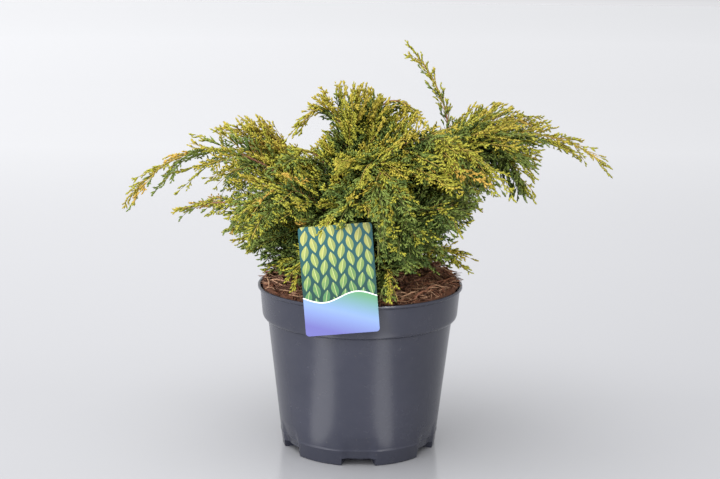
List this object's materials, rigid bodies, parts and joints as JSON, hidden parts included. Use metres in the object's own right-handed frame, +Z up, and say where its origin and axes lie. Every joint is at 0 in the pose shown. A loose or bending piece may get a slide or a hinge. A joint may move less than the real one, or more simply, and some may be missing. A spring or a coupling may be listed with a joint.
{
  "type": "potted juniper shrub",
  "caption": "Low spreading evergreen shrub with arching golden plumes, growing in a tapered round nursery pot with notched feet and a hanging plant label.",
  "frame": {"origin": "centre of the pot's flat underside, on the level that it stands on", "axes": "+Z up out of the pot, +X to the right as the picture shows it, +Y away from the camera"},
  "size_m": [0.6853, 0.4094, 0.5792],
  "materials": {
    "pot_plastic": "charcoal moulded plastic with a soft sheen",
    "potting_mix": "damp reddish-brown bark and fibre",
    "label_card": "printed glossy card",
    "bark": "rough brown bark",
    "foliage": "matt scale leaves, green inside and golden at the tips"
  },
  "bodies": {
    "root": {"pot": "pot_plastic", "potting_mix": "potting_mix", "label": "label_card", "trunk": "bark", "bough_left_skirt": "bark", "bough_right_low": "bark", "bough_front_low_right": "bark", "bough_front_low_left": "bark", "bough_back_low": "bark", "bough_back_low_right": "bark", "bough_left_low": "bark", "bough_right_mid": "bark", "bough_back_right": "bark", "bough_back_left": "bark", "bough_front_mid": "bark", "bough_left_long": "bark", "bough_right_long": "bark", "bough_front_left": "bark", "bough_front_right": "bark", "bough_back": "bark", "bough_left_high": "bark", "bough_right_back": "bark", "bough_right_high": "bark", "bough_centre_left": "bark", "bough_front_nod": "bark", "bough_sweep_right": "bark", "bough_spike": "bark", "bough_front_inner": "bark", "bough_right_inner": "bark", "bough_left_inner": "bark", "bough_mid_left": "bark", "bough_top": "bark", "foliage_left_skirt": "foliage", "foliage_right_low": "foliage", "foliage_front_low_right": "foliage", "foliage_front_low_left": "foliage", "foliage_back_low": "foliage", "foliage_back_low_right": "foliage", "foliage_left_low": "foliage", "foliage_right_mid": "foliage", "foliage_back_right": "foliage", "foliage_back_left": "foliage", "foliage_front_mid": "foliage", "foliage_left_long": "foliage", "foliage_right_long": "foliage", "foliage_front_left": "foliage", "foliage_front_right": "foliage", "foliage_back": "foliage", "foliage_left_high": "foliage", "foliage_right_back": "foliage", "foliage_right_high": "foliage", "foliage_centre_left": "foliage", "foliage_front_nod": "foliage", "foliage_sweep_right": "foliage", "foliage_spike": "foliage", "foliage_front_inner": "foliage", "foliage_right_inner": "foliage", "foliage_left_inner": "foliage", "foliage_mid_left": "foliage", "foliage_top": "foliage"}
  },
  "joints": []
}
